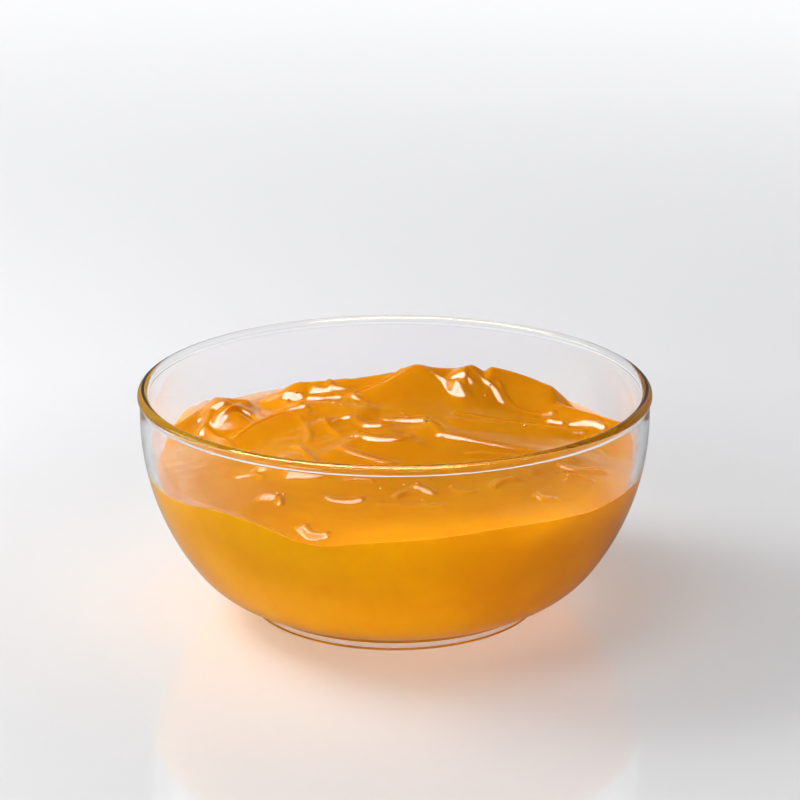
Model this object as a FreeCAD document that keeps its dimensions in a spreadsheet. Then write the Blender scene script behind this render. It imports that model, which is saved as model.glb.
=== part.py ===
"""A round clear glass bowl filled with thick peach pastry filling.

Two sub-parts, in millimetres, +Z up, with the origin on the table under the middle of the bowl:

  bowl     pressed glass: a rolled bead at the rim, a side drawn as one long arc, a tighter arc
           below it, and a low foot ring round a shallow recess
  filling  the gel inside: it meets the wall at the fill level and is heaped into sharp folds
"""

import FreeCAD, Part
import math
import os
import Sketcher
from FreeCAD import Placement, Rotation, Vector

SIZES = [
    ("rim_radius", 70, "outer radius of the rim bead"),
    ("bowl_height", 62, "table to the top of the rim"),
    ("wall", 2.4, "glass thickness of the side"),
    ("bead_proud", 0.6, "how far the bead stands out from the side"),
    ("lip_depth", 8, "upright part of the side, measured from the top of the rim"),
    ("side_radius", 67, "outer radius of the long arc of the side"),
    ("knuckle_radius", 28, "outer radius of the tighter arc under it"),
    ("belly_lift", 2.9, "lowest point of the belly above the table"),
    ("foot_radius", 40, "outer radius of the foot ring"),
    ("foot_width", 3.4, "width of the foot ring"),
    ("foot_round", 1.0, "rounding of the edges that the foot stands on"),
    ("foot_blend", 0.5, "hollow rounding where the foot meets the glass above it"),
    ("recess_depth", 2, "hollow under the base, inside the foot ring"),
    ("fill_level", 40.6, "height at which the filling meets the wall"),
    ("heap_rise", 17, "how far the crown of the heap stands above the fill level"),
    ("fold_round", 1.0, "rounding of the crests of the folds"),
    ("fold_blend", 0.9, "rounding of the valleys between the folds"),
    ("lip_height", 1.2, "height of the thin lips over the folds that they lie on"),
    ("lip_round", 0.9, "rounding of the edges of the lips"),
    ("lip_blend", 0.4, "rounding where the lips run out into the folds"),
    ("wall_wave", 2.9, "most that the filling's edge climbs along the wall"),
    ("contact_gap", 0.1, "distance between the filling and the glass"),
    ("surface_pitch", 1.7, "spacing of the points that carry the heaped surface"),
]

# The mound under the folds: its middle and its reach each way, as shares of the filling's radius.
MOUND_MIDDLE = (0.06, 0.36)
MOUND_REACH = {"left": 1.08, "right": 1.02, "front": 1.38, "back": 0.69}
MOUND_SHARE = 0.80
MOUND_POWER = 0.85

# The folds of the heap. Each is a crest from one point to another, with a flank falling away on
# either side. A point is its place across (+X) and back (+Y) as shares of the filling's radius,
# and its rise as a share of heap_rise. The bow bends the crest sideways, as a share of the radius.
# The slopes are those of the flank on the left and right of the crest, and beyond its ends.
FOLDS = [
    # name            starts at             ends at               bow   left  right ends
    ("shoulder_up", (-0.93, 0.21, 0.28), (-0.75, 0.36, 0.58), 0.00, 1.00, 0.55, 0.90),
    ("shoulder_top", (-0.75, 0.36, 0.60), (-0.63, 0.36, 0.57), 0.00, 1.00, 0.50, 1.00),
    ("shoulder_fall", (-0.73, 0.33, 0.60), (-0.55, 0.12, 0.39), -0.02, 0.60, 0.60, 0.60),
    ("shelf", (-0.54, 0.42, 0.46), (-0.40, 0.45, 0.73), 0.00, 0.90, 0.50, 0.70),
    ("middle_left", (-0.41, 0.45, 0.73), (-0.21, 0.45, 0.80), 0.00, 0.90, 0.55, 0.60),
    ("saddle", (-0.21, 0.45, 0.78), (-0.01, 0.48, 0.88), 0.00, 0.90, 0.40, 0.50),
    ("crown_edge", (-0.17, 0.27, 0.75), (0.09, 0.45, 1.05), -0.02, 0.80, 0.45, 0.50),
    ("crown_left", (0.07, 0.45, 1.03), (0.22, 0.48, 0.95), 0.00, 1.00, 0.50, 0.60),
    ("crown_streak", (0.12, 0.42, 1.00), (0.25, 0.36, 0.80), -0.02, 0.50, 0.60, 0.60),
    ("crown_right", (0.26, 0.48, 0.95), (0.32, 0.45, 1.05), 0.00, 1.00, 0.50, 0.70),
    ("crown_fall", (0.30, 0.42, 1.06), (0.42, 0.41, 0.66), 0.01, 0.70, 0.60, 0.70),
    ("right_top", (0.41, 0.45, 1.01), (0.65, 0.40, 0.76), 0.02, 1.10, 0.60, 1.00),
    ("right_fall", (0.63, 0.40, 0.77), (0.75, 0.33, 0.46), 0.02, 1.20, 0.70, 0.90),
    ("right_toe", (0.69, 0.30, 0.56), (0.92, 0.12, 0.48), 0.00, 0.90, 0.50, 0.60),
    ("left_facet", (-0.64, 0.01, 0.37), (-0.39, 0.18, 0.59), 0.03, 0.55, 0.25, 0.50),
    ("streak", (-0.37, 0.27, 0.62), (-0.12, 0.13, 0.72), 0.03, 0.35, 0.35, 0.50),
    ("upper_streak", (-0.35, 0.43, 0.63), (-0.21, 0.35, 0.73), 0.01, 0.40, 0.50, 0.60),
    ("swirl_back", (-0.29, 0.05, 0.56), (-0.04, -0.08, 0.62), 0.03, 0.30, 0.40, 0.40),
    ("swirl_middle", (-0.15, -0.16, 0.54), (0.07, -0.20, 0.56), -0.02, 0.25, 0.40, 0.40),
    ("swirl_front", (-0.22, -0.23, 0.48), (-0.02, -0.41, 0.43), -0.02, 0.25, 0.30, 0.40),
    ("front_left", (-0.39, -0.24, 0.40), (-0.29, -0.39, 0.37), -0.02, 0.30, 0.30, 0.40),
    ("long_ridge", (0.26, 0.05, 0.63), (0.85, 0.14, 0.29), -0.03, 0.22, 0.50, 0.40),
    ("low_ridge", (0.12, -0.07, 0.64), (0.63, -0.18, 0.35), -0.04, 0.20, 0.50, 0.40),
]

# Thin lips are the edges of smaller folds. Each follows the folds that it lies on. Its ends are
# shares of the radius across and back, its rises at those ends are shares of lip_height, and its
# bow and slopes are as for the folds.
LIPS = [
    # name             starts at       ends at         rises       bow    left  right
    ("shoulder_seam", (-0.79, 0.18), (-0.76, 0.30), (0.8, 0.7), 0.00, 0.90, 0.40),
    ("shoulder_front", (-0.79, 0.18), (-0.66, -0.08), (0.9, 0.7), 0.00, 0.30, 0.90),
    ("shoulder_curl", (-0.72, 0.21), (-0.57, 0.16), (1.5, 1.0), 0.08, 0.20, 0.90),
    ("facet_edge", (-0.64, 0.02), (-0.37, 0.22), (0.4, 0.8), 0.04, 0.50, 0.85),
    ("shelf_edge", (-0.52, 0.42), (-0.40, 0.37), (0.8, 0.6), 0.00, 0.60, 0.90),
    ("streak_edge", (-0.36, 0.32), (-0.12, 0.19), (1.1, 0.4), 0.04, 0.25, 0.95),
    ("left_drop", (-0.40, -0.15), (-0.32, -0.35), (0.7, 0.5), 0.00, 0.40, 0.90),
    ("notch_left", (-0.28, 0.47), (-0.27, 0.40), (0.3, 0.8), 0.00, 0.80, 0.60),
    ("notch_right", (-0.27, 0.40), (-0.18, 0.34), (0.9, 0.5), 0.00, 0.60, 0.90),
    ("crown_rise", (-0.17, 0.34), (0.03, 0.45), (0.8, 0.3), 0.00, 0.90, 0.90),
    ("crown_slant", (0.12, 0.43), (0.26, 0.32), (0.3, 1.1), 0.00, 0.95, 0.95),
    ("swirl_start", (-0.29, 0.06), (-0.23, -0.08), (1.0, 0.5), -0.01, 0.35, 0.90),
    ("swirl_turn", (-0.23, 0.05), (-0.16, 0.03), (0.7, 0.7), 0.02, 0.30, 0.90),
    ("swirl_run", (-0.16, 0.03), (-0.03, -0.05), (0.7, 0.6), -0.03, 0.30, 0.90),
    ("middle_run", (-0.05, 0.03), (0.12, 0.01), (0.4, 0.8), -0.01, 0.25, 0.85),
    ("middle_drop", (0.12, 0.02), (0.18, -0.13), (0.8, 0.6), 0.00, 0.50, 0.80),
    ("low_run", (0.18, -0.13), (0.55, -0.20), (0.5, 0.3), -0.01, 0.30, 0.85),
    ("swirl_lip", (-0.15, -0.13), (0.06, -0.17), (0.9, 0.8), -0.04, 0.20, 0.95),
    ("front_run", (-0.22, -0.24), (-0.02, -0.40), (0.5, 0.4), -0.01, 0.30, 0.85),
    ("crown_cleft", (0.31, 0.43), (0.42, 0.34), (0.3, 0.6), 0.00, 0.95, 0.95),
    ("right_hem", (0.44, 0.38), (0.66, 0.25), (0.3, 0.5), -0.06, 0.60, 0.60),
    ("long_run", (0.25, 0.11), (0.77, 0.09), (0.3, 0.7), -0.03, 0.25, 0.85),
    ("right_front", (0.30, -0.27), (0.48, -0.24), (0.5, 0.6), 0.00, 0.30, 0.85),
    ("wall_knob_left", (-0.49, -0.62), (-0.45, -0.65), (1.2, 1.2), 0.00, 0.40, 0.75),
    ("wall_knob_front", (-0.32, -0.84), (-0.27, -0.86), (1.1, 1.1), 0.00, 0.40, 0.75),
    ("wall_crease_left", (-0.64, -0.39), (-0.50, -0.44), (0.7, 0.5), 0.02, 0.30, 0.80),
    ("wall_crease_middle", (-0.08, -0.62), (0.10, -0.68), (0.7, 0.5), 0.03, 0.30, 0.80),
    ("wall_crease_right", (0.36, -0.50), (0.55, -0.56), (0.5, 0.7), 0.02, 0.30, 0.80),
    ("wall_crease_far", (0.58, -0.27), (0.84, -0.30), (0.5, 0.7), 0.03, 0.30, 0.80),
]
LIP_STEPS = 12
LIP_END = 0.7

# The filling's edge climbs and sinks along the wall: azimuth and half-width of each swell in
# degrees, and its share of wall_wave. Azimuth -90 is the front.
EDGE_SWELLS = [(-130, 14, 1.00), (-107, 9, -0.75), (-63, 18, 0.62), (-20, 14, 0.20),
               (30, 16, -0.30), (75, 20, -0.40), (160, 20, -0.20)]

START, END, CENTRE = 1, 2, 3
ORIGIN_POINT = (-1, 1)
X_AXIS = -1
Y_AXIS = -2


def make_sheet(doc):
    """The spreadsheet of driving sizes, and the same sizes as plain numbers."""
    sheet = doc.addObject("Spreadsheet::Sheet", "sizes")
    for row, (name, value, meaning) in enumerate(SIZES, start=1):
        sheet.set(f"A{row}", name)
        sheet.set(f"B{row}", str(value))
        sheet.set(f"C{row}", meaning)
        sheet.setAlias(f"B{row}", name)
    doc.recompute()
    return sheet, {name: float(getattr(sheet, name)) for name, _, _ in SIZES}


def ring(centre, radius, degrees):
    """The point of a circle in the section plane at an angle from its right-hand side."""
    angle = math.radians(degrees)
    return Vector(centre.x + radius * math.cos(angle), centre.y + radius * math.sin(angle), 0)


def arc(centre, radius, first, last):
    circle = Part.Circle(centre, Vector(0, 0, 1), radius)
    return Part.ArcOfCircle(circle, math.radians(first), math.radians(last))


def side_arcs(size):
    """Centres of the two side arcs and the angle, below level, at which one runs into the other."""
    side = Vector(size["rim_radius"] - size["bead_proud"] - size["side_radius"],
                  size["bowl_height"] - size["lip_depth"], 0)
    knuckle_y = size["belly_lift"] + size["knuckle_radius"]
    drop = side.y - knuckle_y
    apart = size["side_radius"] - size["knuckle_radius"]
    knuckle = Vector(side.x + math.sqrt(apart ** 2 - drop ** 2), knuckle_y, 0)
    return side, knuckle, -math.degrees(math.asin(drop / apart))


def new_sketch(body, name):
    """A sketch on the body's upright XZ plane, so that its x is the radius and its y the height."""
    sketch = body.newObject("Sketcher::SketchObject", name)
    plane = next(f for f in body.Origin.OriginFeatures if f.Role == "XZ_Plane")
    sketch.AttachmentSupport = [(plane, "")]
    sketch.MapMode = "FlatFace"
    return sketch


def constrain(sketch, *rule):
    return sketch.addConstraint(Sketcher.Constraint(*rule))


def bind(sketch, name, expression, kind, *rule):
    """A named dimension of the sketch that follows an expression of the sheet."""
    index = constrain(sketch, kind, *rule)
    sketch.renameConstraint(index, name)
    sketch.setExpression(f"Constraints.{name}", expression)


def chain(sketch, links):
    """Join the end of each piece of an outline to the next: smoothly, or at a corner."""
    for kind, piece, end, following, start in links:
        constrain(sketch, kind, piece, end, following, start)


def revolve(body, sketch, name):
    turned = body.newObject("PartDesign::Revolution", name)
    turned.Profile = sketch
    turned.ReferenceAxis = (sketch, ["V_Axis"])
    turned.Angle = 360
    return turned


def round_edges(doc, body, base, name, wanted, expression):
    """Fillet the circles of the base that lie at the wanted (radius, height) pairs."""
    doc.recompute()
    near = 1e-3
    edges = []
    for index, edge in enumerate(base.Shape.Edges, start=1):
        if not isinstance(edge.Curve, Part.Circle):
            continue
        radius, height = edge.Curve.Radius, edge.Curve.Center.z
        if any(abs(radius - r) < near and abs(height - z) < near for r, z in wanted):
            edges.append(f"Edge{index}")
    if len(edges) != len(wanted):
        raise ValueError(f"{name}: {len(edges)} edges found for {len(wanted)} places")
    fillet = body.newObject("PartDesign::Fillet", name)
    fillet.Base = (base, edges)
    fillet.setExpression("Radius", expression)
    doc.recompute()
    body.Tip = fillet
    return fillet


def make_bowl(doc, size):
    """The glass, as one turned section with its foot edges rounded."""
    body = doc.addObject("PartDesign::Body", "bowl")
    body.Label = "bowl"
    sketch = new_sketch(body, "bowl_section")
    side, knuckle, join = side_arcs(size)
    wall = size["wall"]
    bead = (wall + size["bead_proud"]) / 2
    outer = size["rim_radius"] - size["bead_proud"]
    bead_centre = Vector(size["rim_radius"] - bead, size["bowl_height"] - bead, 0)
    under = -math.degrees(math.acos((outer - bead_centre.x) / bead))
    floor = knuckle.y - size["knuckle_radius"] + wall
    foot_angle = -math.degrees(math.acos((size["foot_radius"] - knuckle.x) / size["knuckle_radius"]))
    foot_top = ring(knuckle, size["knuckle_radius"], foot_angle)
    foot_inner = size["foot_radius"] - size["foot_width"]
    recess = size["recess_depth"]

    def corner(x, y):
        return Vector(x, y, 0)

    floor_line, knuckle_in, side_in, lip_in, bead_over, bead_under, lip_out = range(7)
    side_out, knuckle_out, foot_out, foot_under, foot_in, recess_line, axis_line = range(7, 14)
    sketch.addGeometry([
        Part.LineSegment(corner(0, floor), corner(knuckle.x, floor)),
        arc(knuckle, size["knuckle_radius"] - wall, -90, join),
        arc(side, size["side_radius"] - wall, join, 0),
        Part.LineSegment(corner(outer - wall, side.y), corner(outer - wall, bead_centre.y)),
        arc(bead_centre, bead, 0, 180),
        arc(bead_centre, bead, under, 0),
        Part.LineSegment(ring(bead_centre, bead, under), corner(outer, side.y)),
        arc(side, size["side_radius"], join, 0),
        arc(knuckle, size["knuckle_radius"], foot_angle, join),
        Part.LineSegment(foot_top, corner(size["foot_radius"], 0)),
        Part.LineSegment(corner(size["foot_radius"], 0), corner(foot_inner, 0)),
        Part.LineSegment(corner(foot_inner, 0), corner(foot_inner, recess)),
        Part.LineSegment(corner(foot_inner, recess), corner(0, recess)),
        Part.LineSegment(corner(0, recess), corner(0, floor)),
    ], False)
    chain(sketch, [
        ("Tangent", floor_line, END, knuckle_in, START),
        ("Tangent", knuckle_in, END, side_in, START),
        ("Tangent", side_in, END, lip_in, START),
        ("Tangent", lip_in, END, bead_over, END),
        ("Coincident", bead_over, START, bead_under, END),
        ("Coincident", bead_over, CENTRE, bead_under, CENTRE),
        ("Coincident", bead_under, START, lip_out, START),
        ("Tangent", lip_out, END, side_out, END),
        ("Tangent", side_out, START, knuckle_out, END),
        ("Coincident", knuckle_out, START, foot_out, START),
        ("Coincident", foot_out, END, foot_under, START),
        ("Coincident", foot_under, END, foot_in, START),
        ("Coincident", foot_in, END, recess_line, START),
        ("Coincident", recess_line, END, axis_line, START),
        ("Coincident", axis_line, END, floor_line, START),
        ("Coincident", knuckle_in, CENTRE, knuckle_out, CENTRE),
        ("Coincident", side_in, CENTRE, side_out, CENTRE),
        ("Horizontal", bead_over, START, bead_over, CENTRE),
    ])
    for line in (floor_line, foot_under, recess_line):
        constrain(sketch, "Horizontal", line)
    for line in (lip_in, lip_out, foot_out, foot_in, axis_line):
        constrain(sketch, "Vertical", line)
    constrain(sketch, "PointOnObject", axis_line, START, Y_AXIS)
    constrain(sketch, "PointOnObject", foot_under, START, X_AXIS)
    bind(sketch, "side", "sizes.side_radius", "Radius", side_out, size["side_radius"])
    bind(sketch, "knuckle", "sizes.knuckle_radius", "Radius", knuckle_out, size["knuckle_radius"])
    bind(sketch, "bead", "(sizes.wall + sizes.bead_proud) / 2", "Radius", bead_over, bead)
    bind(sketch, "outside", "sizes.rim_radius - sizes.bead_proud", "DistanceX",
         *ORIGIN_POINT, lip_out, END, outer)
    bind(sketch, "lip", "sizes.bowl_height - sizes.lip_depth", "DistanceY",
         *ORIGIN_POINT, lip_out, END, side.y)
    bind(sketch, "glass", "sizes.wall", "DistanceX", lip_in, START, lip_out, END, wall)
    bind(sketch, "bead_height", "sizes.bowl_height - (sizes.wall + sizes.bead_proud) / 2",
         "DistanceY", *ORIGIN_POINT, bead_over, CENTRE, bead_centre.y)
    bind(sketch, "knuckle_height", "sizes.belly_lift + sizes.knuckle_radius", "DistanceY",
         *ORIGIN_POINT, knuckle_out, CENTRE, knuckle.y)
    bind(sketch, "foot", "sizes.foot_radius", "DistanceX",
         *ORIGIN_POINT, foot_out, END, size["foot_radius"])
    bind(sketch, "foot_ring", "sizes.foot_width", "DistanceX",
         foot_under, END, foot_under, START, size["foot_width"])
    bind(sketch, "recess", "sizes.recess_depth", "DistanceY",
         *ORIGIN_POINT, recess_line, END, recess)
    turned = revolve(body, sketch, "bowl_turned")
    standing = [(size["foot_radius"], 0), (foot_inner, 0)]
    hollow = [(size["foot_radius"], foot_top.y), (foot_inner, recess)]
    edged = round_edges(doc, body, turned, "foot_edges", standing, "sizes.foot_round")
    round_edges(doc, body, edged, "foot_hollows", hollow, "sizes.foot_blend")
    body.Placement = Placement()
    return body


def make_charge(doc, size):
    """The whole hollow of the bowl as a turned solid, clear of the glass by the contact gap."""
    body = doc.addObject("PartDesign::Body", "charge")
    sketch = new_sketch(body, "charge_section")
    side, knuckle, join = side_arcs(size)
    inset = size["wall"] + size["contact_gap"]
    reach = size["rim_radius"] - size["bead_proud"] - inset
    floor = knuckle.y - size["knuckle_radius"] + inset
    top = size["bowl_height"] + size["heap_rise"]
    axis_line, floor_line, knuckle_arc, side_arc, upright, top_line = range(6)
    sketch.addGeometry([
        Part.LineSegment(Vector(0, top, 0), Vector(0, floor, 0)),
        Part.LineSegment(Vector(0, floor, 0), Vector(knuckle.x, floor, 0)),
        arc(knuckle, size["knuckle_radius"] - inset, -90, join),
        arc(side, size["side_radius"] - inset, join, 0),
        Part.LineSegment(Vector(reach, side.y, 0), Vector(reach, top, 0)),
        Part.LineSegment(Vector(reach, top, 0), Vector(0, top, 0)),
    ], False)
    chain(sketch, [
        ("Coincident", axis_line, END, floor_line, START),
        ("Tangent", floor_line, END, knuckle_arc, START),
        ("Tangent", knuckle_arc, END, side_arc, START),
        ("Tangent", side_arc, END, upright, START),
        ("Coincident", upright, END, top_line, START),
        ("Coincident", top_line, END, axis_line, START),
    ])
    constrain(sketch, "Vertical", axis_line)
    constrain(sketch, "Vertical", upright)
    constrain(sketch, "Horizontal", floor_line)
    constrain(sketch, "Horizontal", top_line)
    constrain(sketch, "PointOnObject", axis_line, START, Y_AXIS)
    bind(sketch, "side", "sizes.side_radius - sizes.wall - sizes.contact_gap", "Radius",
         side_arc, size["side_radius"] - inset)
    bind(sketch, "knuckle", "sizes.knuckle_radius - sizes.wall - sizes.contact_gap", "Radius",
         knuckle_arc, size["knuckle_radius"] - inset)
    bind(sketch, "reach", "sizes.rim_radius - sizes.bead_proud - sizes.wall - sizes.contact_gap",
         "DistanceX", *ORIGIN_POINT, upright, START, reach)
    bind(sketch, "lip", "sizes.bowl_height - sizes.lip_depth", "DistanceY",
         *ORIGIN_POINT, upright, START, side.y)
    bind(sketch, "knuckle_height", "sizes.belly_lift + sizes.knuckle_radius", "DistanceY",
         *ORIGIN_POINT, knuckle_arc, CENTRE, knuckle.y)
    bind(sketch, "top", "sizes.bowl_height + sizes.heap_rise", "DistanceY",
         *ORIGIN_POINT, top_line, END, top)
    body.Tip = revolve(body, sketch, "charge_turned")
    return body


def soft_max(first, second, blend):
    """The larger of two heights, rounded over the blend where they meet."""
    spread = math.exp(-abs(first - second) / blend)
    return max(first, second) + blend * math.log1p(spread)


def fold_height(x, y, fold, radius, size):
    """Height of one fold over the point x, y: its crest, less what the flank has fallen by."""
    _, first, last, bow, left_slope, right_slope, end_slope = fold
    start = Vector(first[0] * radius, first[1] * radius, first[2] * size["heap_rise"])
    run = Vector(last[0] * radius, last[1] * radius, last[2] * size["heap_rise"]) - start
    length = math.hypot(run.x, run.y)
    along = ((x - start.x) * run.x + (y - start.y) * run.y) / length ** 2
    within = min(max(along, 0), 1)
    across = ((y - start.y) * run.x - (x - start.x) * run.y) / length
    across -= bow * radius * 4 * within * (1 - within)
    slope = left_slope if across > 0 else right_slope
    beyond = end_slope * (along - within) * length
    edge = size["fold_round"]
    fallen = math.sqrt((slope * across) ** 2 + beyond ** 2 + edge ** 2) - edge
    return size["fill_level"] + start.z + run.z * within - fallen


def mound_height(x, y, radius, size):
    """Height of the smooth mound that the folds lie on."""
    across = x / radius - MOUND_MIDDLE[0]
    back = y / radius - MOUND_MIDDLE[1]
    across /= MOUND_REACH["left"] if across < 0 else MOUND_REACH["right"]
    back /= MOUND_REACH["front"] if back < 0 else MOUND_REACH["back"]
    left = max(1 - math.hypot(across, back), 0)
    return size["fill_level"] + MOUND_SHARE * size["heap_rise"] * left ** MOUND_POWER


def folded_height(x, y, radius, size):
    """Height of the mound and its folds over any point of the bowl, without the thin lips."""
    height = mound_height(x, y, radius, size)
    for fold in FOLDS:
        height = soft_max(height, fold_height(x, y, fold, radius, size), size["fold_blend"])
    return height


def lip_crest(lip, radius, size):
    """Heights of a lip's edge at even steps along it, each over the folds below that step."""
    _, first, last, rises, bow, _, _ = lip
    start = Vector(first[0] * radius, first[1] * radius)
    run = Vector(last[0] * radius, last[1] * radius) - start
    crest = []
    for i in range(LIP_STEPS + 1):
        share = i / LIP_STEPS
        aside = bow * radius * 4 * share * (1 - share) / run.Length
        place = start + run * share + Vector(-run.y, run.x) * aside
        rise = rises[0] + (rises[1] - rises[0]) * share
        crest.append(folded_height(place.x, place.y, radius, size) + size["lip_height"] * rise)
    return crest


def lip_height(x, y, lip, crest, radius, size):
    """Height of one lip over the point x, y."""
    _, first, last, _, bow, left_slope, right_slope = lip
    start = Vector(first[0] * radius, first[1] * radius)
    run = Vector(last[0] * radius, last[1] * radius) - start
    length = run.Length
    along = ((x - start.x) * run.x + (y - start.y) * run.y) / length ** 2
    within = min(max(along, 0), 1)
    across = ((y - start.y) * run.x - (x - start.x) * run.y) / length
    across -= bow * radius * 4 * within * (1 - within)
    slope = left_slope if across > 0 else right_slope
    beyond = LIP_END * (along - within) * length
    edge = size["lip_round"]
    fallen = math.sqrt((slope * across) ** 2 + beyond ** 2 + edge ** 2) - edge
    step = min(int(within * LIP_STEPS), LIP_STEPS - 1)
    rest = within * LIP_STEPS - step
    return crest[step] + (crest[step + 1] - crest[step]) * rest - fallen


def edge_swell(x, y, radius, size):
    """How far the surface climbs towards the wall, which it does only near the wall."""
    angle = math.degrees(math.atan2(y, x))
    climb = 0
    for azimuth, spread, share in EDGE_SWELLS:
        apart = (angle - azimuth + 180) % 360 - 180
        climb += share * math.exp(-(apart / spread) ** 2)
    return size["wall_wave"] * climb * (math.hypot(x, y) / radius) ** 4


def heap_height(x, y, crests, radius, size):
    """Height of the heaped surface over any point of the bowl."""
    height = folded_height(x, y, radius, size)
    for lip, crest in zip(LIPS, crests):
        height = soft_max(height, lip_height(x, y, lip, crest, radius, size), size["lip_blend"])
    return height + edge_swell(x, y, radius, size)


def make_heap(doc, size):
    """A block whose top is the heaped surface, wider than the bowl and deeper than its floor."""
    radius = size["rim_radius"] - size["bead_proud"] - size["wall"]
    crests = [lip_crest(lip, radius, size) for lip in LIPS]
    half = radius + size["surface_pitch"]
    steps = math.ceil(2 * half / size["surface_pitch"])
    places = [half * (2 * i / steps - 1) for i in range(steps + 1)]
    points = [[Vector(x, y, heap_height(x, y, crests, radius, size)) for y in places]
              for x in places]
    surface = Part.BSplineSurface()
    surface.interpolate(points)
    block = surface.toShape().extrude(Vector(0, 0, -size["bowl_height"]))
    heap = doc.addObject("Part::Feature", "heap")
    heap.Shape = block
    heap.Placement = Placement(Vector(0, 0, 0), Rotation())
    return heap


def make_filling(doc, size):
    """The filling: what lies both in the hollow of the bowl and under the heaped surface."""
    common = doc.addObject("Part::Common", "filling")
    common.Label = "filling"
    common.Base = make_charge(doc, size)
    common.Tool = make_heap(doc, size)
    common.Placement = Placement()
    return common


def check(doc, parts):
    """Stop unless every object of the document computed and every sub-part is one valid solid."""
    for item in doc.Objects:
        if "Invalid" in item.State or "Error" in item.State:
            raise RuntimeError(f"{item.Name} did not compute: {item.State}")
    for part in parts:
        shape = part.Shape
        if shape.isNull() or not shape.isValid() or len(shape.Solids) != 1:
            raise RuntimeError(f"{part.Label} is not one valid solid")
        box = shape.BoundBox
        print(f"{part.Label}: {shape.Volume / 1000:.1f} cm3,"
              f" {box.XLength:.1f} x {box.YLength:.1f} x {box.ZLength:.1f} mm, top {box.ZMax:.1f}")


def main():
    doc = FreeCAD.newDocument("filled_bowl")
    _, size = make_sheet(doc)
    parts = [make_bowl(doc, size), make_filling(doc, size)]
    doc.recompute()
    check(doc, parts)
    os.makedirs("parts", exist_ok=True)
    for part in parts:
        part.Shape.exportStep(os.path.join("parts", part.Label + ".step"))


main()
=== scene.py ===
"""Looks of a clear glass bowl of peach pastry filling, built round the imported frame.

Two fine meshes stand for the two CAD nodes. The glass is turned from the same arcs. The filling
carries the same folds, with more and finer lips, ripples and small bubbles on its open surface.
Sizes of the object are in millimetres and become metres where meshes are made. The camera, the
floor, the lamps and the materials are in metres.
"""

import math

import bpy
import numpy as np
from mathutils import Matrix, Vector


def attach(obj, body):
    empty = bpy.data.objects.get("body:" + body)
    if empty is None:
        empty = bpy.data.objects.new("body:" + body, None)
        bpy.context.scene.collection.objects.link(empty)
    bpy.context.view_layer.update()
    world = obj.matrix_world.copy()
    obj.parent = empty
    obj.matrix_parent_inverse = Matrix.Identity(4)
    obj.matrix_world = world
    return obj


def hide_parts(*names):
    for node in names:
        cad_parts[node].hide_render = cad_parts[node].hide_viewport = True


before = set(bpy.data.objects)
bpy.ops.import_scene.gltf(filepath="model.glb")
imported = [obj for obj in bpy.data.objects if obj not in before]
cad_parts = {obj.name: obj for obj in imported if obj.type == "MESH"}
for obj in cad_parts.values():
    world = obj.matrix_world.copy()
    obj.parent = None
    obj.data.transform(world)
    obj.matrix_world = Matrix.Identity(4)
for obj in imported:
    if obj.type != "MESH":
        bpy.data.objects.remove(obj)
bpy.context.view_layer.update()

MM = 0.001

# The camera.
CAMERA_PLACE = (0.0014, -0.7625, 0.2994)
CAMERA_AIM = (0.0014, 0, 0.0575)
CAMERA_LENS = 131.9
CAMERA_SENSOR = 36

# The broad lamp overhead: the way to it, its spread in degrees, its power.
SUN = ((-0.50, -0.22, 1.0), 38, 0.65)
# Lamps that light the surfaces: name, place, what it points at, size, power.
LIGHTING_LAMPS = [
    ("left", (-0.43, 0.14, 0.46), (0, 0, 0.02), (0.30, 0.26), 2.8),
    ("front", (-0.80, -1.36, 0.12), (0, 0, 0.03), (1.2, 0.5), 7.6),
]
# Lamps that only show as highlights, in the same form.
HIGHLIGHT_LAMPS = [
    ("strip", (-0.20, -0.31, 1.5), (0, 0, 0.05), (2.4, 0.82), 170.0),
    ("panel", (-1.3, 0.2, 0.75), (0, 0, 0.05), (1.0, 0.8), 12.0),
]

# The studio round the object: its level for diffuse light, behind the camera's view, and overhead
# through glass. In reflections a wall stands behind, another at the left, and the rest is dark.
STUDIO_COLOUR = (0.975, 0.98, 1.0, 1)
WORLD_EVEN = 0.40
BACKDROP = 0.92
CEILING = 0.15
REFLECTED_BACK = 0.22
REFLECTED_LEFT = 0.55
REFLECTED_REST = 0.05
# Where each of those fades in, from 0 to 1, along one axis of a ray's direction.
WALLS_BELOW = (0.50, 0.41)
WALL_BEHIND = (0.15, 0.75)
WALL_AT_LEFT = (-0.25, -0.9)
BACKDROP_BELOW = (0.75, 0.35)

# The floor: its tones go with the distance from the object, as shares of TONE_REACH.
FLOOR_RADIUS = 6.0
FLOOR_LEVEL = -0.0002
FLOOR_ROUGHNESS = 0.05
FLOOR_IOR = 1.7
TONE_REACH = 1.6
FLOOR_TONES = [
    (0.0, (0.70, 0.70, 0.70, 1)),
    (0.09, (0.69, 0.69, 0.70, 1)),
    (0.14, (0.65, 0.65, 0.67, 1)),
    (0.45, (0.78, 0.78, 0.80, 1)),
    (1.0, (0.92, 0.92, 0.92, 1)),
]
FLOOR_IN_MIRRORS = (0.28, 0.28, 0.29, 1)
# How much the seen floor is lifted towards white: at once, then by distance (from, to, amount).
LIFT_ALL = 0.09
LIFT_NEAR = (0.1, 0.25, 0.165)
LIFT_FAR = (0.25, 1.1, 0.33)

# The glass material. The tint dims and warms what it reflects, and the absorption darkens it where
# the eye looks along the wall.
GLASS_IOR = 1.5
GLASS_TINT = (0.5, 0.42, 0.15, 1)
GLASS_SHADOW = (0.94, 0.95, 0.95, 1)
GLASS_ABSORBS = (0.20, 0.26, 0.25, 1)
GLASS_DENSITY = 26.0

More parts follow.
